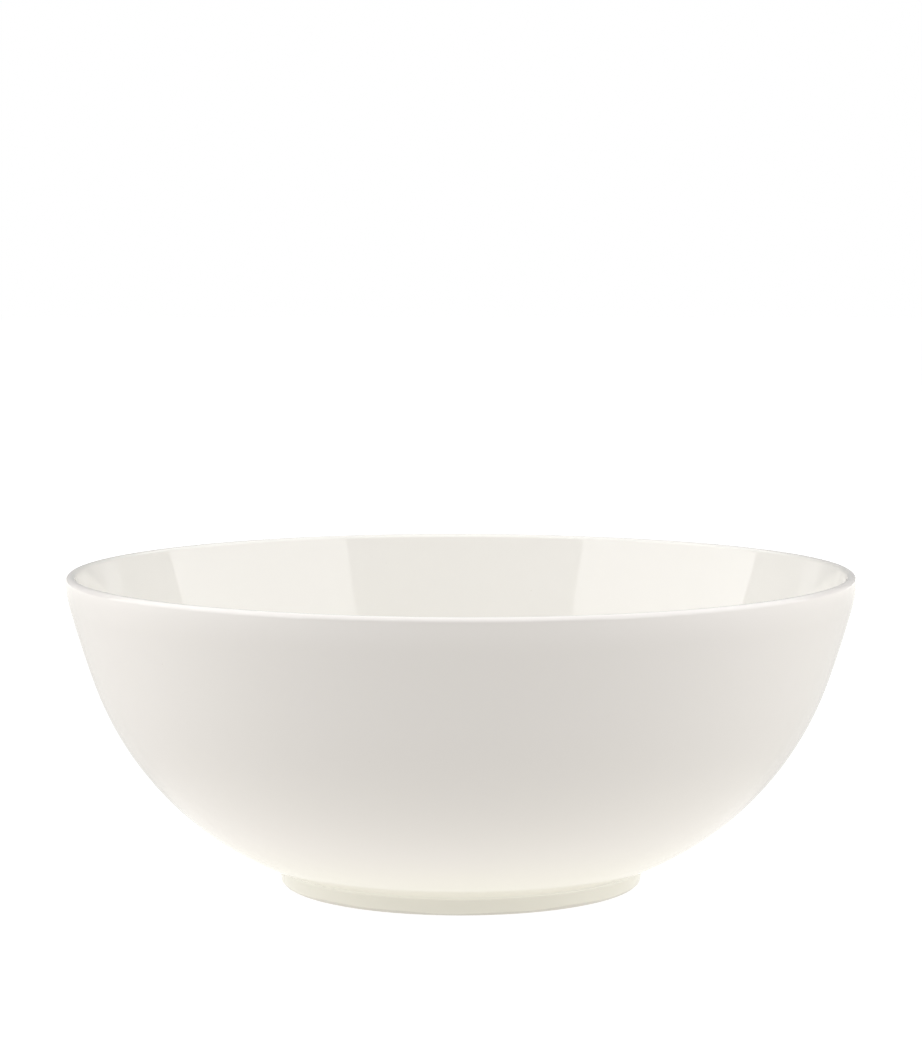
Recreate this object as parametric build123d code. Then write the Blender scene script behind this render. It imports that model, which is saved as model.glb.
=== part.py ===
from build123d import *
import math
import os

# A round porcelain serving bowl on a low foot ring, in millimetres.
# The origin is the centre of the foot's underside and +Z points up the bowl's axis.
# Every piece is turned about that axis, so each one is a section (radius, height) revolved once.

# Overall sizes, taken over the finished glaze
rim_diameter = 240.0
bowl_height = 95.6
foot_diameter = 110.2           # where the line of the foot's side meets the table
glaze_thickness = 0.3

# Outside of the wall, from the lip down to the foot: three tangent arcs
lip_thickness = 3.0
lip_ease_radius = 30.5          # the last few millimetres below the lip turn upright
wall_slope = 15.3               # degrees from upright where the easing starts
upper_wall_radius = 368.0
belly_slope = 18.95             # degrees from upright where the belly starts
belly_radius = 96.15

# Inside of the wall, from the lip down to the floor: two tangent arcs and a flat
inner_upper_radius = 364.0
inner_belly_radius = 78.0
floor_height = 8.8

# Foot ring, the joint above it and the recess inside it
foot_taper = 9.0                # degrees that the foot's outer side leans out, going up
foot_inner_diameter = 99.2
foot_edge_radius = 0.8
cove_radius = 1.3               # hollow between the wall and the foot's outer side
well_cove_radius = 1.0          # hollow between the foot's inner side and the recess
underside_height = 4.7          # bare clay under the floor
slip_thickness = 0.5
glaze_line_height = 1.0         # the glaze is wiped off the foot below this


def away(centre, distance, angle):
    """Point at a distance from a centre, at an angle in degrees up from straight outwards."""
    turn = math.radians(angle)
    return centre[0] + distance * math.cos(turn), centre[1] + distance * math.sin(turn)


def angle_at_height(centre, radius, height):
    """Angle of the point of a circle's outer half that lies at a height."""
    return math.degrees(math.asin((height - centre[1]) / radius))


def foot_side(depth, height):
    """Point at a height on the foot's outer side, at a depth below its glaze."""
    taper = math.radians(foot_taper)
    radius = foot_diameter / 2 - depth / math.cos(taper) + height * math.tan(taper)
    return radius, height


def find_cove_centre():
    """Centre of the outer cove, found where a line cuts a circle.

    It lies one cove radius outside the foot's side, so on a line, and one cove radius
    outside the belly arc, so on a circle about the belly's centre.
    """
    start = foot_side(-cove_radius, 0)
    up = away((0, 0), 1, 90 - foot_taper)
    out = (start[0] - belly_centre[0], start[1] - belly_centre[1])
    along = out[0] * up[0] + out[1] * up[1]
    reach = out[0] ** 2 + out[1] ** 2 - (belly_radius + cove_radius) ** 2
    travel = -along - math.sqrt(along ** 2 - reach)
    return start[0] + travel * up[0], start[1] + travel * up[1]


# Centres of the outside arcs
lip_centre = (rim_diameter / 2 - lip_thickness / 2, bowl_height - lip_thickness / 2)
ease_centre = (rim_diameter / 2 - lip_ease_radius, lip_centre[1])
upper_centre = away(ease_centre, lip_ease_radius - upper_wall_radius, -wall_slope)
belly_centre = away(upper_centre, upper_wall_radius - belly_radius, -belly_slope)
cove_centre = find_cove_centre()
cove_angle = angle_at_height(belly_centre, belly_radius + cove_radius, cove_centre[1])

# Centres of the inside arcs: the belly arc touches both the upper arc and the floor
inner_upper_centre = away(lip_centre, -(inner_upper_radius + lip_thickness / 2), -wall_slope)
inner_belly_slope = math.degrees(math.asin(
    (inner_upper_centre[1] - floor_height - inner_belly_radius)
    / (inner_upper_radius - inner_belly_radius)))
inner_belly_centre = away(inner_upper_centre, inner_upper_radius - inner_belly_radius,
                          -inner_belly_slope)
well_cove_centre = (foot_inner_diameter / 2 - well_cove_radius,
                    underside_height - glaze_thickness - well_cove_radius)

# Where the clay of the belly meets the flat seat of the foot ring
clay_belly_radius = belly_radius - glaze_thickness
seat_angle = angle_at_height(belly_centre, clay_belly_radius, underside_height)
seat_edge = away(belly_centre, clay_belly_radius, seat_angle)
ring_top = underside_height - slip_thickness


def arc(centre, radius, start, end):
    """Arc of a section about a centre, from one angle to another."""
    points = [away(centre, radius, angle) for angle in (start, (start + end) / 2, end)]
    return ThreePointArc(*[(r, 0, z) for r, z in points])


def line(start, end):
    """Straight stretch of a section."""
    return Line((start[0], 0, start[1]), (end[0], 0, end[1]))


def joining(end, start):
    """Straight stretch from the end of one run of edges to the start of another."""
    return Line(end, start)


def turned(edges):
    """Solid of a closed section turned once about the bowl's axis."""
    return revolve(make_face(edges), Axis.Z, 360)


def coat(side):
    """Glaze of even thickness over one side of the clay."""
    skin = side(0)
    clay = side(glaze_thickness)
    ends = [joining(skin[0] @ 0, clay[0] @ 0), joining(skin[-1] @ 1, clay[-1] @ 1)]
    return turned(skin + clay + ends)


def wall_outside(depth):
    """Outside of the wall at a depth below the glaze, from the lip's top to the belly."""
    return [
        arc(lip_centre, lip_thickness / 2 - depth, 90, 0),
        arc(ease_centre, lip_ease_radius - depth, 0, -wall_slope),
        arc(upper_centre, upper_wall_radius - depth, -wall_slope, -belly_slope),
    ]


def whole_outside(depth):
    """Outside of the bowl at a depth below the glaze, from the lip's top to the wiped line."""
    side_top = away(cove_centre, cove_radius + depth, 180 - foot_taper)
    return wall_outside(depth) + [
        arc(belly_centre, belly_radius - depth, -belly_slope, cove_angle),
        arc(cove_centre, cove_radius + depth, cove_angle + 180, 180 - foot_taper),
        line(side_top, foot_side(depth, glaze_line_height)),
    ]


def whole_inside(depth):
    """Inside of the bowl at a depth below the glaze, from the lip's top to the floor's centre."""
    return [
        arc(lip_centre, lip_thickness / 2 - depth, 90, 180 - wall_slope),
        arc(inner_upper_centre, inner_upper_radius + depth, -wall_slope, -inner_belly_slope),
        arc(inner_belly_centre, inner_belly_radius + depth, -inner_belly_slope, -90),
        line((inner_belly_centre[0], floor_height - depth), (0, floor_height - depth)),
    ]


def foot_well(depth):
    """Inside of the foot at a depth below the glaze, from the wiped line to the centre."""
    side_radius = foot_inner_diameter / 2 + depth
    roof = underside_height - glaze_thickness + depth
    return [
        line((side_radius, glaze_line_height), (side_radius, well_cove_centre[1])),
        arc(well_cove_centre, well_cove_radius + depth, 0, 90),
        line((well_cove_centre[0], roof), (0, roof)),
    ]


def make_bowl_body():
    """Fired clay wall and floor, one jiggered piece with a flat underside for the foot."""
    outside = wall_outside(glaze_thickness)
    inside = whole_inside(glaze_thickness)
    return turned(outside + inside + [
        arc(belly_centre, clay_belly_radius, -belly_slope, seat_angle),
        line(seat_edge, (0, underside_height)),
        line((0, underside_height), (0, floor_height - glaze_thickness)),
    ])


def make_foot_ring():
    """Fired clay ring that the bowl stands on, with a flat bare face and eased edges."""
    outer_edge = foot_side(glaze_thickness + foot_edge_radius, foot_edge_radius)
    inner_radius = foot_inner_diameter / 2 + glaze_thickness
    inner_edge = (inner_radius + foot_edge_radius, foot_edge_radius)
    cove = well_cove_radius + glaze_thickness
    cove_end = angle_at_height(well_cove_centre, cove, ring_top)
    return turned([
        line(foot_side(glaze_thickness, ring_top), away(outer_edge, foot_edge_radius, -foot_taper)),
        arc(outer_edge, foot_edge_radius, -foot_taper, -90),
        line((outer_edge[0], 0), (inner_edge[0], 0)),
        arc(inner_edge, foot_edge_radius, -90, -180),
        line((inner_radius, foot_edge_radius), (inner_radius, well_cove_centre[1])),
        arc(well_cove_centre, cove, 0, cove_end),
        line(away(well_cove_centre, cove, cove_end), foot_side(glaze_thickness, ring_top)),
    ])


def make_joining_slip():
    """Liquid clay that stuck the ring to the bowl, squeezed out and smoothed into two coves."""
    side_top = away(cove_centre, cove_radius + glaze_thickness, 180 - foot_taper)
    cove = well_cove_radius + glaze_thickness
    cove_start = angle_at_height(well_cove_centre, cove, ring_top)
    return turned([
        line(foot_side(glaze_thickness, ring_top), side_top),
        arc(cove_centre, cove_radius + glaze_thickness, 180 - foot_taper, cove_angle + 180),
        arc(belly_centre, clay_belly_radius, cove_angle, seat_angle),
        line(seat_edge, (well_cove_centre[0], underside_height)),
        arc(well_cove_centre, cove, 90, cove_start),
        line(away(well_cove_centre, cove, cove_start), foot_side(glaze_thickness, ring_top)),
    ])


nodes = {
    "bowl_body": make_bowl_body(),
    "foot_ring": make_foot_ring(),
    "joining_slip": make_joining_slip(),
    "inner_glaze": coat(whole_inside),
    "outer_glaze": coat(whole_outside),
    "foot_well_glaze": coat(foot_well),
}

os.makedirs("parts", exist_ok=True)
for name, solid in nodes.items():
    export_step(solid, f"parts/{name}.step")
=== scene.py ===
import math

import bpy
import numpy as np
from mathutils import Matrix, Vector


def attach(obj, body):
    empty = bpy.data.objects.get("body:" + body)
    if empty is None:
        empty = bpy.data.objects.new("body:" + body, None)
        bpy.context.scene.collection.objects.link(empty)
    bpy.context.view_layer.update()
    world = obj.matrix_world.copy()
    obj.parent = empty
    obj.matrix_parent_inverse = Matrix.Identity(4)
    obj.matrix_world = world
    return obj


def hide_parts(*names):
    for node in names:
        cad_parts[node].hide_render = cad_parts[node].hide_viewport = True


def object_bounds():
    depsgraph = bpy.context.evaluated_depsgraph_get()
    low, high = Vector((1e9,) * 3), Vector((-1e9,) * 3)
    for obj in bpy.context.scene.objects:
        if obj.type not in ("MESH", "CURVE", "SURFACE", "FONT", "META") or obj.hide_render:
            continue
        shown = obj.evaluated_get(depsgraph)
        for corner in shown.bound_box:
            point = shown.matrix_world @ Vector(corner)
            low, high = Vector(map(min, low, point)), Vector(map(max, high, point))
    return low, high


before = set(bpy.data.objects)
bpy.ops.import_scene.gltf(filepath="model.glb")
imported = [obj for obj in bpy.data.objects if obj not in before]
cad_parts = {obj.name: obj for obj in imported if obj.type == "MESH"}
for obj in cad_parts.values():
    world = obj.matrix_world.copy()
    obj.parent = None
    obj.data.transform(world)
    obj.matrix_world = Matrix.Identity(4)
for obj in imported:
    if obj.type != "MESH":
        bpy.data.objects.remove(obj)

cad_low, cad_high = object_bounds()


# ---------------------------------------------------------------------------------------------
# Clay wall. Fired white porcelain clay, pressed over a turning mould by a jigger's blade, so
# every section through the axis is the same. It is hidden under the glaze on both sides.
# ---------------------------------------------------------------------------------------------
mm = 0.001
rim_radius = cad_high.x
lip_top = cad_high.z
glaze_thickness = 0.3 * mm
lip_thickness = 3.0 * mm

lip_ease_radius = 30.5 * mm
wall_slope = 15.3
upper_wall_radius = 368.0 * mm
belly_slope = 18.95
belly_radius = 96.15 * mm
inner_upper_radius = 364.0 * mm
inner_belly_radius = 78.0 * mm
floor_height = 8.8 * mm
underside_height = 4.7 * mm


def away(centre, distance, angle):
    """centre + distance * (cos angle, sin angle), the angle in degrees up from straight outwards."""
    turn = np.radians(angle)
    return np.stack([centre[0] + distance * np.cos(turn), centre[1] + distance * np.sin(turn)], -1)


def arc(centre, radius, start, end, steps):
    """Points centre + radius * (cos t, sin t); t goes from start to end and crowds at both ends."""
    share = (1 - np.cos(np.linspace(0, math.pi, steps + 1))) / 2
    return away(centre, radius, start + (end - start) * share)


def straight(start, end, steps):
    """Points start + (end - start) * s, with s in even steps from 0 to 1."""
    share = np.linspace(0, 1, steps + 1)[:, None]
    return np.asarray(start) + (np.asarray(end) - np.asarray(start)) * share


same_place = 1e-5 * mm


def joined(*runs):
    """Runs of points laid end to end, leaving out each point that repeats the one before."""
    points = np.vstack(runs)
    step = np.linalg.norm(np.diff(points, axis=0), axis=1)
    return points[np.concatenate([[True], step > same_place])]


lip_centre = (rim_radius - lip_thickness / 2, lip_top - lip_thickness / 2)
ease_centre = (rim_radius - lip_ease_radius, lip_centre[1])
upper_centre = away(ease_centre, lip_ease_radius - upper_wall_radius, -wall_slope)
belly_centre = away(upper_centre, upper_wall_radius - belly_radius, -belly_slope)
inner_upper_centre = away(lip_centre, -(inner_upper_radius + lip_thickness / 2), -wall_slope)
inner_belly_slope = math.degrees(math.asin(
    (inner_upper_centre[1] - floor_height - inner_belly_radius)
    / (inner_upper_radius - inner_belly_radius)))
inner_belly_centre = away(inner_upper_centre, inner_upper_radius - inner_belly_radius,
                          -inner_belly_slope)


def wall_outside(depth, steps):
    """Lip and upper wall at a depth below the glaze, from the lip's crest down to the belly."""
    return joined(
        arc(lip_centre, lip_thickness / 2 - depth, 90, 0, steps),
        arc(ease_centre, lip_ease_radius - depth, 0, -wall_slope, steps // 2),
        arc(upper_centre, upper_wall_radius - depth, -wall_slope, -belly_slope, steps))


def wall_inside(depth, steps):
    """Lip, wall and floor inside, at a depth below the glaze, from the lip's crest to the axis."""
    flat = (inner_belly_centre[0], floor_height - depth)
    return joined(
        arc(lip_centre, lip_thickness / 2 - depth, 90, 180 - wall_slope, steps),
        arc(inner_upper_centre, inner_upper_radius + depth, -wall_slope, -inner_belly_slope, steps),
        arc(inner_belly_centre, inner_belly_radius + depth, -inner_belly_slope, -90, 2 * steps),
        straight(flat, (0, floor_height - depth), steps // 2))


# How far the kiln moves the lip, and how far up the foot a wiped edge waves.
out_of_round = 0.12 * mm
out_of_flat = 0.10 * mm
ripple_height = 3.0 * mm


def kiln_moved(around, outline, ripple=0.0):
    """Points of an outline carried round the axis, with the small movements of glazing and firing.

    x = r cos a, y = r sin a, z = h. At the lip, r changes by the out-of-round amount times
    cos (2a - 0.7), and h by the out-of-flat amount times cos (3a + 0.4) - 1, which only lowers it.
    Both fade with the square of the height, so the foot stays round and flat. A glaze edge wiped
    by hand waves by ripple (0.6 sin 5a + 0.4 sin (13a + 1)), which fades out at the ripple height.
    """
    radius, height = outline[:, 0][:, None], outline[:, 1][:, None]
    fade = (height / lip_top) ** 2
    oval = out_of_round * np.cos(2 * around - 0.7) * fade * radius / rim_radius
    wave = out_of_flat * (np.cos(3 * around + 0.4) - 1) * fade
    wiped = ripple * (0.6 * np.sin(5 * around) + 0.4 * np.sin(13 * around + 1))
    wiped = wiped * np.clip(1 - height / ripple_height, 0, 1)
    return np.stack([(radius + oval) * np.cos(around), (radius + oval) * np.sin(around),
                     height + wave + wiped], -1)


# A fold of more degrees than this shows as an edge. Hidden pieces take fewer steps round the axis.
sharp_edge = 50
hidden_steps = 240


def turned(name, outline, around_steps=360, ripple=0.0):
    """Closed skin of an outline (radius, height) carried once round the axis.

    The outline runs anticlockwise with the radius to the right. It either closes on itself, or
    begins and ends on the axis, where each end becomes one point with a fan of triangles.
    """
    on_axis = outline[:, 0] < same_place
    rings = outline[~on_axis]
    around = np.linspace(0, 2 * math.pi, around_steps, endpoint=False)[None, :]
    points = kiln_moved(around, rings, ripple).reshape(-1, 3)
    count = len(rings)
    ring, turn = np.meshgrid(np.arange(count), np.arange(around_steps), indexing="ij")
    next_turn = (turn + 1) % around_steps
    next_ring = (ring + 1) % count
    quads = np.stack([ring * around_steps + turn, ring * around_steps + next_turn,
                      next_ring * around_steps + next_turn, next_ring * around_steps + turn], -1)
    faces = []
    if on_axis.any():
        quads = quads[:-1]
        poles = kiln_moved(np.zeros((1, 1)), outline[on_axis]).reshape(-1, 3)
        first_pole = len(points)
        points = np.vstack([points, poles])
        here, beside = turn[0], next_turn[0]
        last_ring = (count - 1) * around_steps
        faces += np.stack([np.full_like(here, first_pole), beside, here], -1).tolist()
        faces += np.stack([np.full_like(here, first_pole + 1), last_ring + here,
                           last_ring + beside], -1).tolist()
    faces = quads.reshape(-1, 4).tolist() + faces
    mesh = bpy.data.meshes.new(name)
    mesh.from_pydata(points, [], faces)
    mesh.validate()
    mesh.shade_smooth()
    mesh.set_sharp_from_angle(angle=math.radians(sharp_edge))
    piece = bpy.data.objects.new(name, mesh)
    bpy.context.collection.objects.link(piece)
    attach(piece, "root")
    return piece


def placed(tree, kind, inputs, **settings):
    """A node of one kind in a tree. Each input is set to a value or linked from a socket."""
    node = tree.nodes.new(kind)
    for name, value in settings.items():
        setattr(node, name, value)
    for name, value in inputs.items():
        if isinstance(value, bpy.types.NodeSocket):
            tree.links.new(value, node.inputs[name])
        else:
            node.inputs[name].default_value = value
    return node


def reckoned(tree, operation, first, second, third=0.0):
    """One step of arithmetic, such as first * second + third for MULTIPLY_ADD."""
    inputs = {0: first, 1: second, 2: third}
    return placed(tree, "ShaderNodeMath", inputs, operation=operation).outputs[0]


def faded(tree, value, start, end, at_start, at_end):
    """Smooth change from at_start to at_end, while a value goes from start to end."""
    inputs = {"Value": value, "From Min": start, "From Max": end, "To Min": at_start, "To Max": at_end}
    return placed(tree, "ShaderNodeMapRange", inputs,
                  interpolation_type="SMOOTHSTEP").outputs["Result"]


def blended(tree, share, first, second):
    """Colour between two colours."""
    return placed(tree, "ShaderNodeMix", {"Factor": share, 6: first, 7: second},
                  data_type="RGBA").outputs[2]


def clouds(tree, scale, detail):
    """Soft noise from 0 to 1 with about this many clouds to the metre, fixed to the piece."""
    place = placed(tree, "ShaderNodeTexCoord", {}).outputs["Object"]
    return placed(tree, "ShaderNodeTexNoise",
                  {"Vector": place, "Scale": scale, "Detail": detail}).outputs["Fac"]


def height_on(tree):
    """Height above the table, in metres."""
    place = placed(tree, "ShaderNodeTexCoord", {}).outputs["Object"]
    return placed(tree, "ShaderNodeSeparateXYZ", {0: place}).outputs["Z"]


def radius_on(tree):
    """Distance from the bowl's axis, in metres."""
    place = placed(tree, "ShaderNodeTexCoord", {}).outputs["Object"]
    flat = placed(tree, "ShaderNodeVectorMath", {0: place, 1: (1, 1, 0)}, operation="MULTIPLY")
    return placed(tree, "ShaderNodeVectorMath", {0: flat.outputs[0]},
                  operation="LENGTH").outputs["Value"]


def effect(name, inputs, outputs):
    """Empty node group with its sockets: inputs are (name, kind, value), outputs (name, kind)."""
    tree = bpy.data.node_groups.new(name, "ShaderNodeTree")
    for label, kind, value in inputs:
        socket = tree.interface.new_socket(label, in_out="INPUT", socket_type="NodeSocket" + kind)
        socket.default_value = value
    for label, kind in outputs:
        tree.interface.new_socket(label, in_out="OUTPUT", socket_type="NodeSocket" + kind)
    return tree, tree.nodes.new("NodeGroupInput").outputs, tree.nodes.new("NodeGroupOutput").inputs


def used(tree, group, inputs):
    """A group placed in a material with its own values; gives the group's outputs."""
    return placed(tree, "ShaderNodeGroup", inputs, node_tree=group).outputs


def coloured(piece, name, relief):
    """New material on a piece. Its normal comes from a bump node that relief metres deep."""
    material = bpy.data.materials.new(name)
    material.use_nodes = True
    tree = material.node_tree
    surface = tree.nodes["Principled BSDF"]
    bump = placed(tree, "ShaderNodeBump", {"Distance": relief, "Strength": 1.0})
    tree.links.new(bump.outputs["Normal"], surface.inputs["Normal"])
    piece.data.materials.append(material)
    return tree, surface, bump


clay_belly_radius = belly_radius - glaze_thickness
seat_angle = math.degrees(math.asin((underside_height - belly_centre[1]) / clay_belly_radius))
seat_edge = away(belly_centre, clay_belly_radius, seat_angle)
clay_outline = joined(
    straight((0, underside_height), seat_edge, 12),
    arc(belly_centre, clay_belly_radius, seat_angle, -belly_slope, 30),
    wall_outside(glaze_thickness, 12)[::-1],
    wall_inside(glaze_thickness, 12))
clay_wall = turned("clay_wall", clay_outline, hidden_steps)
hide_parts("bowl_body")

# Clay grain: sintered grains a third of a millimetre across, in slow clouds of warmer clay.
clay_grain, given, result = effect(
    "clay_grain",
    [("Light Clay", "Color", (0.80, 0.78, 0.74, 1)), ("Dark Clay", "Color", (0.70, 0.67, 0.62, 1)),
     ("Smoothest", "Float", 0.5), ("Roughest", "Float", 0.8)],
    [("Color", "Color"), ("Roughness", "Float"), ("Height", "Float")])
grains_to_the_metre = 3000
patches_to_the_metre = 45
grain = clouds(clay_grain, grains_to_the_metre, 4)
patches = clouds(clay_grain, patches_to_the_metre, 3)
tone = reckoned(clay_grain, "MULTIPLY_ADD", patches, 0.6, -0.1)
clay_share = reckoned(clay_grain, "MULTIPLY_ADD", grain, 0.5, tone)
shade = blended(clay_grain, clay_share, given["Light Clay"], given["Dark Clay"])
clay_grain.links.new(shade, result["Color"])
polish = faded(clay_grain, grain, 0.3, 0.7, given["Smoothest"], given["Roughest"])
clay_grain.links.new(polish, result["Roughness"])
clay_grain.links.new(grain, result["Height"])

grain_depth = 0.02 * mm
tree, surface, bump = coloured(clay_wall, "wall_clay", 1.5 * grain_depth)
fired = used(tree, clay_grain, {"Smoothest": 0.55, "Roughest": 0.85})
tree.links.new(fired["Color"], surface.inputs["Base Color"])
tree.links.new(fired["Roughness"], surface.inputs["Roughness"])
tree.links.new(fired["Height"], bump.inputs["Height"])


# ---------------------------------------------------------------------------------------------
# Foot ring. Fired clay, turned and stuck under the wall. Its underside is wiped free of glaze
# and ground flat, and is the bowl's only bare clay.
# ---------------------------------------------------------------------------------------------
foot_radius = 55.1 * mm
foot_taper = 9.0
foot_inner_radius = 49.6 * mm
foot_edge_radius = 0.8 * mm
cove_radius = 1.3 * mm
well_cove_radius = 1.0 * mm
slip_thickness = 0.5 * mm
glaze_line = 1.0 * mm
ring_top = underside_height - slip_thickness
taper = math.radians(foot_taper)


def foot_side(depth, height):
    """Point on the foot's outer side: r = foot radius - depth / cos taper + height * tan taper."""
    return np.array([foot_radius - depth / math.cos(taper) + height * math.tan(taper), height])


up_side = np.array([math.sin(taper), math.cos(taper)])
cove_start = foot_side(-cove_radius, 0)
cove_out = cove_start - belly_centre
cove_along = cove_out @ up_side
cove_reach = cove_out @ cove_out - (belly_radius + cove_radius) ** 2
cove_centre = cove_start + (-cove_along - math.sqrt(cove_along ** 2 - cove_reach)) * up_side
cove_turn = cove_centre - belly_centre
cove_angle = math.degrees(math.atan2(cove_turn[1], cove_turn[0]))
well_cove_centre = (foot_inner_radius - well_cove_radius,
                    underside_height - glaze_thickness - well_cove_radius)

clay_cove = well_cove_radius + glaze_thickness
clay_cove_angle = math.degrees(math.asin((ring_top - well_cove_centre[1]) / clay_cove))
outer_edge = foot_side(glaze_thickness + foot_edge_radius, foot_edge_radius)
clay_inner_radius = foot_inner_radius + glaze_thickness
inner_edge = (clay_inner_radius + foot_edge_radius, foot_edge_radius)
ring_outline = joined(
    arc(inner_edge, foot_edge_radius, 180, 270, 10),
    straight((inner_edge[0], 0), (outer_edge[0], 0), 10),
    arc(outer_edge, foot_edge_radius, -90, -foot_taper, 10),
    straight(away(outer_edge, foot_edge_radius, -foot_taper), foot_side(glaze_thickness, ring_top), 6),
    straight(foot_side(glaze_thickness, ring_top), away(well_cove_centre, clay_cove, clay_cove_angle), 6),
    arc(well_cove_centre, clay_cove, clay_cove_angle, 0, 6),
    straight((clay_inner_radius, well_cove_centre[1]), (clay_inner_radius, foot_edge_radius), 6)[:-1])
bare_foot = turned("bare_foot", ring_outline)
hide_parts("foot_ring")

# Turned marks: fine rings round the axis, left by the turning tool, the brush and the grinder.
turned_marks, given, result = effect(
    "turned_marks", [("Rings to the Metre", "Float", 1500)], [("Marks", "Float")])
ring_wander = 0.3 * mm
wander = reckoned(turned_marks, "MULTIPLY", clouds(turned_marks, 60, 1), ring_wander)
along = reckoned(turned_marks, "ADD", radius_on(turned_marks), wander)
marks = placed(turned_marks, "ShaderNodeTexNoise",
               {"W": along, "Scale": given["Rings to the Metre"], "Detail": 3},
               noise_dimensions="1D").outputs["Fac"]
turned_marks.links.new(marks, result["Marks"])

tree, surface, bump = coloured(bare_foot, "foot_clay", grain_depth)
fired = used(tree, clay_grain, {"Light Clay": (0.79, 0.77, 0.72, 1), "Dark Clay": (0.66, 0.63, 0.57, 1),
                                "Smoothest": 0.42, "Roughest": 0.7})
ground_top = 0.5 * mm
most_rubbed = 0.45
most_soiled = 0.35
soil_grey = (0.46, 0.45, 0.43, 1)
rings = used(tree, turned_marks, {"Rings to the Metre": 2200})["Marks"]
ground = faded(tree, height_on(tree), ground_top / 10, ground_top, 1, 0)
rubbed = reckoned(tree, "MULTIPLY", ground, faded(tree, rings, 0.45, 0.62, 0, most_rubbed))
soil = faded(tree, clouds(tree, 90, 4), 0.45, 0.7, 0, most_soiled)
soil = reckoned(tree, "MULTIPLY", ground, soil)
shade = blended(tree, reckoned(tree, "MAXIMUM", rubbed, soil), fired["Color"], soil_grey)
tree.links.new(shade, surface.inputs["Base Color"])
polish = reckoned(tree, "SUBTRACT", fired["Roughness"], reckoned(tree, "MULTIPLY", rubbed, 0.3))
tree.links.new(polish, surface.inputs["Roughness"])
tree.links.new(reckoned(tree, "ADD", fired["Height"], rings), bump.inputs["Height"])


# ---------------------------------------------------------------------------------------------
# Joining slip. Liquid clay that stuck the ring to the wall, wiped to a small hollow cove on
# each side of the ring and fired with them.
# ---------------------------------------------------------------------------------------------
slip_outline = joined(
    straight(away(well_cove_centre, clay_cove, clay_cove_angle), foot_side(glaze_thickness, ring_top), 6),
    straight(foot_side(glaze_thickness, ring_top),
             away(cove_centre, cove_radius + glaze_thickness, 180 - foot_taper), 2),
    arc(cove_centre, cove_radius + glaze_thickness, 180 - foot_taper, cove_angle + 180, 10),
    arc(belly_centre, clay_belly_radius, cove_angle, seat_angle, 8),
    straight(seat_edge, (well_cove_centre[0], underside_height), 6),
    arc(well_cove_centre, clay_cove, 90, clay_cove_angle, 6)[:-1])
slip_joint = turned("slip_joint", slip_outline, hidden_steps)
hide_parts("joining_slip")

tree, surface, bump = coloured(slip_joint, "slip_clay", grain_depth)
fired = used(tree, clay_grain, {"Light Clay": (0.83, 0.81, 0.77, 1), "Dark Clay": (0.75, 0.72, 0.67, 1),
                                "Smoothest": 0.5, "Roughest": 0.75})
tree.links.new(fired["Color"], surface.inputs["Base Color"])
tree.links.new(fired["Roughness"], surface.inputs["Roughness"])
tree.links.new(fired["Height"], bump.inputs["Height"])


# ---------------------------------------------------------------------------------------------
# Outer glaze. Clear glaze poured over the outside and fused to the clay, from the lip's crest
# to the line on the foot where it was wiped off. It pools a little in the cove.
# ---------------------------------------------------------------------------------------------
def whole_outside(depth, steps):
    """Outside at a depth below the glaze, from the lip's crest to the wiped line on the foot."""
    return joined(
        wall_outside(depth, steps),
        arc(belly_centre, belly_radius - depth, -belly_slope, cove_angle, 3 * steps),
        arc(cove_centre, cove_radius + depth, cove_angle + 180, 180 - foot_taper, steps // 2),
        straight(away(cove_centre, cove_radius + depth, 180 - foot_taper),
                 foot_side(depth, glaze_line), steps // 2))


bead = glaze_thickness / 2
wiped_ripple = 0.35 * mm
outer_bead = arc(foot_side(bead, glaze_line), bead, 180 - foot_taper, 360 - foot_taper, 8)
outer_skin = turned("outer_glaze_skin", joined(
    outer_bead, whole_outside(0, 24)[::-1], whole_outside(glaze_thickness, 8)[:-1]),
    ripple=wiped_ripple)
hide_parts("outer_glaze")

# Glaze depth: where the glaze lies thick it is warmer. Slow clouds of colour, an uneven melted
# surface with a fine peel, a few sunk pinholes, and a gloss dulled a little by handling.
glaze_depth, given, result = effect(
    "glaze_depth",
    [("Thin Glaze", "Color", (0.86, 0.84, 0.80, 1)), ("Thick Glaze", "Color", (0.85, 0.84, 0.75, 1)),
     ("Thickness", "Float", 0.0), ("Handled", "Float", 0.0)],
    [("Color", "Color"), ("Roughness", "Float"), ("Height", "Float")])
drift = clouds(glaze_depth, 16, 3)
melt = clouds(glaze_depth, 50, 1)
peel = clouds(glaze_depth, 650, 2)
film = clouds(glaze_depth, 110, 5)
uneven = reckoned(glaze_depth, "MULTIPLY", reckoned(glaze_depth, "SUBTRACT", drift, 0.5), 0.5)
thickness = reckoned(glaze_depth, "ADD", given["Thickness"], uneven)
thickness.node.use_clamp = True
shade = blended(glaze_depth, thickness, given["Thin Glaze"], given["Thick Glaze"])
cells_to_the_metre = 120
cells_without = 0.80
pinhole_brown = (0.50, 0.46, 0.38, 1)
place = placed(glaze_depth, "ShaderNodeTexCoord", {}).outputs["Object"]
cells = placed(glaze_depth, "ShaderNodeTexVoronoi", {"Vector": place, "Scale": cells_to_the_metre})
chosen = placed(glaze_depth, "ShaderNodeSeparateColor", {0: cells.outputs["Color"]}).outputs["Red"]
few = faded(glaze_depth, chosen, cells_without, cells_without + 0.02, 0, 1)
pinhole = reckoned(glaze_depth, "MULTIPLY", few,
                   faded(glaze_depth, cells.outputs["Distance"], 0.015, 0.035, 1, 0))
pinhole_shade = reckoned(glaze_depth, "MULTIPLY", pinhole, 0.25)
shade = blended(glaze_depth, pinhole_shade, shade, pinhole_brown)
glaze_depth.links.new(shade, result["Color"])
filmed = faded(glaze_depth, film, 0.42, 0.68, 0, 1)
dulled = reckoned(glaze_depth, "MULTIPLY", given["Handled"], filmed)
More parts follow.
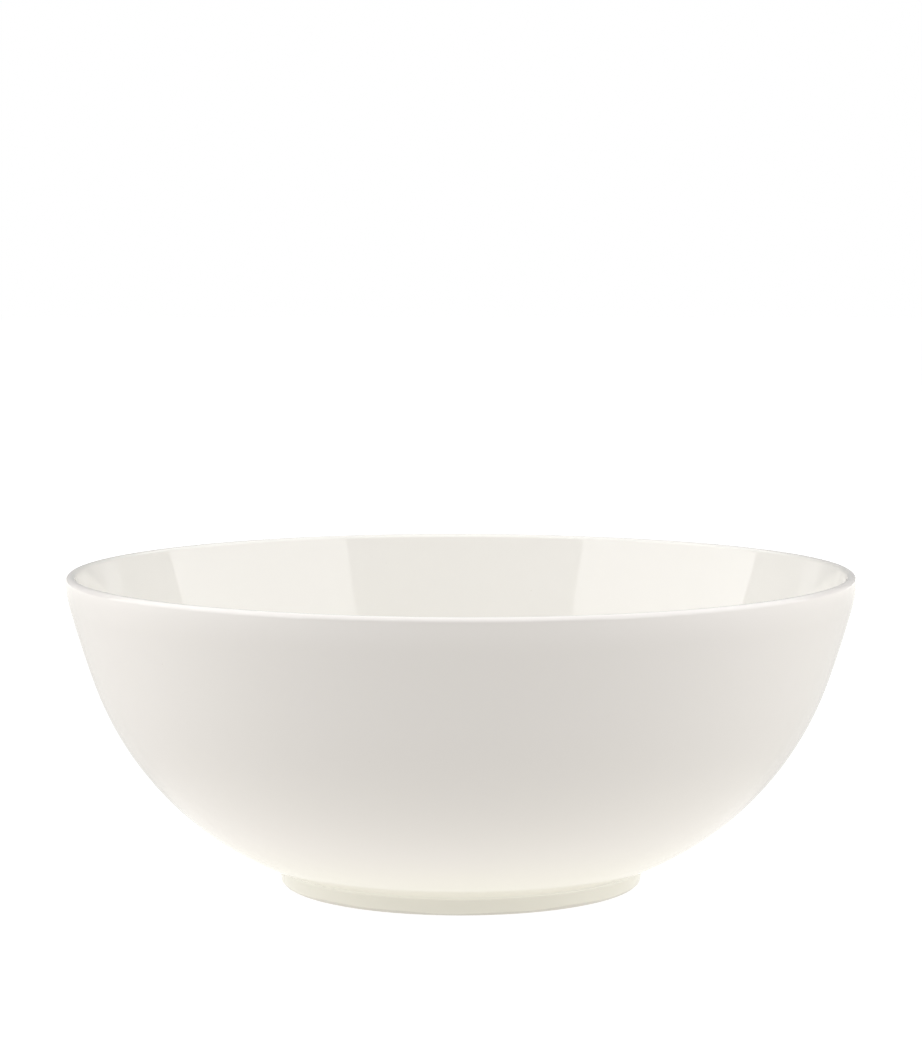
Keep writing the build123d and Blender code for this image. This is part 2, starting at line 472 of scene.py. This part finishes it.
fresh_gloss = faded(glaze_depth, drift, 0.3, 0.7, 0.024, 0.042)
polish = reckoned(glaze_depth, "MULTIPLY_ADD", dulled, 0.10, fresh_gloss)
glaze_depth.links.new(polish, result["Roughness"])
relief = reckoned(glaze_depth, "MULTIPLY_ADD", peel, 0.02, melt)
sunk = reckoned(glaze_depth, "SUBTRACT", relief, reckoned(glaze_depth, "MULTIPLY", pinhole, 0.5))
glaze_depth.links.new(sunk, result["Height"])

glaze_relief = 0.05 * mm
tree, surface, bump = coloured(outer_skin, "outside_glaze", glaze_relief)
height = height_on(tree)
settled = faded(tree, height, 4 * mm, 26 * mm, 1.0, 0.0)
cove = faded(tree, height, 3 * mm, 7 * mm, 0.3, 0.0)
lip = faded(tree, height, lip_top - 2.2 * mm, lip_top - 0.4 * mm, 0.0, 0.35)
thick = reckoned(tree, "SUBTRACT", reckoned(tree, "ADD", settled, cove), lip)
coat = used(tree, glaze_depth, {"Thin Glaze": (0.868, 0.837, 0.810, 1),
                                "Thick Glaze": (0.862, 0.843, 0.768, 1), "Thickness": thick,
                                "Handled": faded(tree, height, 20 * mm, 60 * mm, 0.15, 0.30)})
tree.links.new(coat["Color"], surface.inputs["Base Color"])
tree.links.new(coat["Roughness"], surface.inputs["Roughness"])
tree.links.new(coat["Height"], bump.inputs["Height"])


# ---------------------------------------------------------------------------------------------
# Inner glaze. The same clear glaze, poured round the inside and fused to the clay, from the
# lip's crest to the middle of the floor.
# ---------------------------------------------------------------------------------------------
inner_skin = turned("inner_glaze_skin", joined(
    wall_inside(glaze_thickness, 10)[::-1], wall_inside(0, 24)))
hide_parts("inner_glaze")

# Use has left short straight scuffs on the floor inside, where spoons have rubbed.
tree, surface, bump = coloured(inner_skin, "inside_glaze", glaze_relief)
height = height_on(tree)
settled = faded(tree, height, floor_height, floor_height + 9 * mm, 0.6, 0.0)
coat = used(tree, glaze_depth, {"Thin Glaze": (0.860, 0.841, 0.802, 1),
                                "Thick Glaze": (0.846, 0.834, 0.765, 1), "Thickness": settled,
                                "Handled": faded(tree, height, 10 * mm, 40 * mm, 0.5, 0.1)})
place = placed(tree, "ShaderNodeTexCoord", {}).outputs["Object"]
scuff_grey = (0.60, 0.59, 0.57, 1)
spoon_marks = []
for turn in (20, 75, 140):
    laid = placed(tree, "ShaderNodeMapping", {"Vector": place, "Scale": (60, 2200, 60),
                                              "Rotation": (0, 0, math.radians(turn))})
    hair = placed(tree, "ShaderNodeTexNoise", {"Vector": laid.outputs[0], "Scale": 1.0, "Detail": 1})
    spoon_marks.append(faded(tree, hair.outputs["Fac"], 0.70, 0.76, 0, 1))
scuffs = reckoned(tree, "MAXIMUM", spoon_marks[0], spoon_marks[1])
scuffs = reckoned(tree, "MAXIMUM", scuffs, spoon_marks[2])
scuffs = reckoned(tree, "MULTIPLY", scuffs, faded(tree, radius_on(tree), 40 * mm, 80 * mm, 1, 0))
scuffs = reckoned(tree, "MULTIPLY", scuffs, faded(tree, height, 10 * mm, 24 * mm, 1, 0))
shade = blended(tree, reckoned(tree, "MULTIPLY", scuffs, 0.22), coat["Color"], scuff_grey)
tree.links.new(shade, surface.inputs["Base Color"])
polish = reckoned(tree, "ADD", coat["Roughness"], reckoned(tree, "MULTIPLY", scuffs, 0.25))
tree.links.new(polish, surface.inputs["Roughness"])
tree.links.new(reckoned(tree, "SUBTRACT", coat["Height"], reckoned(tree, "MULTIPLY", scuffs, 0.03)),
               bump.inputs["Height"])


# ---------------------------------------------------------------------------------------------
# Foot well glaze. Glaze brushed inside the foot ring and under the floor, cut off from the
# outside by the bare ring.
# ---------------------------------------------------------------------------------------------
ring_depth = 0.05 * mm
ring_spacing = 5.5 * mm


def foot_well(depth, steps):
    """Inside of the foot at a depth below the glaze, from the wiped line to the axis.

    The glaze's face dips by the depth of the turning rings times (1 - cos of the radius) / 2, with
    one ring for each spacing. The clay behind it, at the glaze's full depth, is flat.
    """
    side = foot_inner_radius + depth
    radius = np.linspace(well_cove_centre[0], 0, 6 * steps + 1)
    rings = ring_depth * (1 - np.cos(2 * math.pi * radius / ring_spacing)) / 2
    rings = rings * np.clip((well_cove_centre[0] - radius) / ring_spacing, 0, 1)
    face_rings = rings if depth == 0 else 0
    roof = underside_height - glaze_thickness + depth - face_rings
    return joined(
        straight((side, glaze_line), (side, well_cove_centre[1]), steps // 2),
        arc(well_cove_centre, well_cove_radius + depth, 0, 90, steps),
        np.stack([radius, np.broadcast_to(roof, radius.shape)], -1))


well_bead = arc((foot_inner_radius + bead, glaze_line), bead, 180, 360, 8)[::-1]
well_skin = turned("foot_well_skin", joined(
    well_bead, foot_well(0, 12), foot_well(glaze_thickness, 6)[::-1])[::-1], ripple=-wiped_ripple)
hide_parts("foot_well_glaze")

# The glaze was brushed on here, so it shows faint brush rings and is less even.
tree, surface, bump = coloured(well_skin, "well_glaze", 1.2 * glaze_relief)
brushed = used(tree, turned_marks, {"Rings to the Metre": 420})["Marks"]
gathered = faded(tree, radius_on(tree), 44 * mm, 49 * mm, 0.0, 0.5)
thick = reckoned(tree, "ADD", gathered, faded(tree, brushed, 0.3, 0.7, 0.0, 0.5))
coat = used(tree, glaze_depth, {"Thin Glaze": (0.858, 0.840, 0.796, 1),
                                "Thick Glaze": (0.835, 0.822, 0.745, 1), "Thickness": thick,
                                "Handled": 0.4})
tree.links.new(coat["Color"], surface.inputs["Base Color"])
tree.links.new(coat["Roughness"], surface.inputs["Roughness"])
tree.links.new(reckoned(tree, "ADD", coat["Height"], reckoned(tree, "MULTIPLY", brushed, 0.4)),
               bump.inputs["Height"])


# ---------------------------------------------------------------------------------------------
# Table and light. A plain pale table lit through from below, in a white room with soft light
# boxes. Table and room look white, and give less light than that.
# ---------------------------------------------------------------------------------------------
table_half = 6.0
table_corners = [(-table_half, -table_half, 0), (table_half, -table_half, 0),
                 (table_half, table_half, 0), (-table_half, table_half, 0)]
table_mesh = bpy.data.meshes.new("table")
table_mesh.from_pydata(table_corners, [], [(0, 1, 2, 3)])
table = bpy.data.objects.new("table", table_mesh)
bpy.context.collection.objects.link(table)

table_grey = (0.15, 0.15, 0.15, 1)
table_roughness = 0.8
table_warmth = (1.0, 0.985, 0.935, 1)
white = (1, 1, 1, 1)

# Each glow fades over a stretch in metres: outwards from the axis for the one under the bowl,
# from the camera's side inwards for the whole table's, to both sides, and to the back.
under_glow = 0.26
under_stretch = (0.09, 0.15)
table_glow = 0.665
table_stretch = (-1.0, -0.25)
side_glow = 0.32
side_stretch = (0.5, 0.75)
back_glow = 0.35
back_stretch = (0.3, 0.9)

table_paint = bpy.data.materials.new("pale_table")
table_paint.use_nodes = True
tree = table_paint.node_tree
surface = tree.nodes["Principled BSDF"]
surface.inputs["Base Color"].default_value = table_grey
surface.inputs["Roughness"].default_value = table_roughness
place = placed(tree, "ShaderNodeTexCoord", {}).outputs["Object"]
across = placed(tree, "ShaderNodeSeparateXYZ", {0: place}).outputs
radius = radius_on(tree)
sideways = reckoned(tree, "ABSOLUTE", across["X"], 0)
glow = faded(tree, radius, *under_stretch, under_glow, 0)
glow = reckoned(tree, "ADD", glow, faded(tree, across["Y"], *table_stretch, 0, table_glow))
glow = reckoned(tree, "ADD", glow, faded(tree, sideways, *side_stretch, 0, side_glow))
glow = reckoned(tree, "ADD", glow, faded(tree, across["Y"], *back_stretch, 0, back_glow))
# Camera rays see the table white far off, fading to 0.9 within half a metre of the axis: a painted
# contact shadow round the bowl.
seen = placed(tree, "ShaderNodeLightPath", {}).outputs["Is Camera Ray"]
shown = faded(tree, radius, 0.15, 0.5, 0.9, 1.0)
glow = placed(tree, "ShaderNodeMix", {"Factor": seen, "A": glow, "B": shown})
tree.links.new(glow.outputs["Result"], surface.inputs["Emission Strength"])
warmth = blended(tree, seen, table_warmth, white)
tree.links.new(warmth, surface.inputs["Emission Color"])
table_mesh.materials.append(table_paint)

# The room's own light comes only from low down behind the bowl.
room_glow = 0.41
room = bpy.data.worlds.new("white_room")
room.use_nodes = True
bpy.context.scene.world = room
tree = room.node_tree
direction = placed(tree, "ShaderNodeTexCoord", {}).outputs["Generated"]
towards = placed(tree, "ShaderNodeSeparateXYZ", {0: direction}).outputs
glow = faded(tree, towards["Y"], 0.0, 0.5, 0, room_glow)
glow = reckoned(tree, "MULTIPLY", glow, faded(tree, towards["Z"], 0.02, 0.35, 1, 0))
seen = placed(tree, "ShaderNodeLightPath", {}).outputs["Is Camera Ray"]
glow = placed(tree, "ShaderNodeMix", {"Factor": seen, "A": glow, "B": 1.0})
tree.links.new(glow.outputs["Result"], tree.nodes["Background"].inputs["Strength"])
tree.nodes["Background"].inputs["Color"].default_value = white

bpy.context.scene.view_settings.view_transform = "Standard"


def softbox(name, centre, facing, width, height, radiance):
    """Soft light box. Its face has this radiance, where 1 is the white of the picture."""
    data = bpy.data.lights.new(name, "AREA")
    data.shape = "RECTANGLE"
    data.size = width
    data.size_y = height
    data.energy = radiance * math.pi * width * height
    lamp = bpy.data.objects.new(name, data)
    bpy.context.collection.objects.link(lamp)
    lamp.location = centre
    lamp.rotation_euler = Vector(facing).to_track_quat("-Z", "Y").to_euler()
    lamp.visible_camera = False


softbox("box_right", centre=(0.8, -0.32, 0.61), facing=(-1, 0, 0), width=1.26, height=0.98,
        radiance=1.63)
softbox("box_left", centre=(-0.8, -0.262, 0.61), facing=(1, 0, 0), width=1.215, height=0.98,
        radiance=1.87)
softbox("ceiling", centre=(0, 0.1, 1.3), facing=(0, 0, -1), width=3.2, height=3.0,
        radiance=0.95)
softbox("box_high_front", centre=(0, -0.85, 1.15), facing=(0, 0.85, -1.15), width=1.5, height=0.6,
        radiance=1.29)
softbox("strip_right", centre=(1.23, 1.58, 0.33), facing=(-0.78, -1, 0), width=0.38, height=0.18,
        radiance=0.32)
softbox("strip_left", centre=(-1.23, 1.58, 0.33), facing=(0.78, -1, 0), width=0.38, height=0.18,
        radiance=0.32)


# ---------------------------------------------------------------------------------------------
# Camera. A long lens about a metre in front of the bowl and a little above its lip, tipped down
# by a few degrees. The lens is given in millimetres for a frame 36 mm high.
# ---------------------------------------------------------------------------------------------
camera_distance = 0.9945
camera_height = 0.2012
camera_dip = 5.25
frame_height = 36.0
lens_length = 112.328

camera_data = bpy.data.cameras.new("camera")
camera_data.sensor_width = frame_height
camera_data.lens = lens_length
camera = bpy.data.objects.new("camera", camera_data)
bpy.context.collection.objects.link(camera)
camera.location = (0, -camera_distance, camera_height)
camera.rotation_euler = (math.radians(90 - camera_dip), 0, 0)
bpy.context.scene.camera = camera
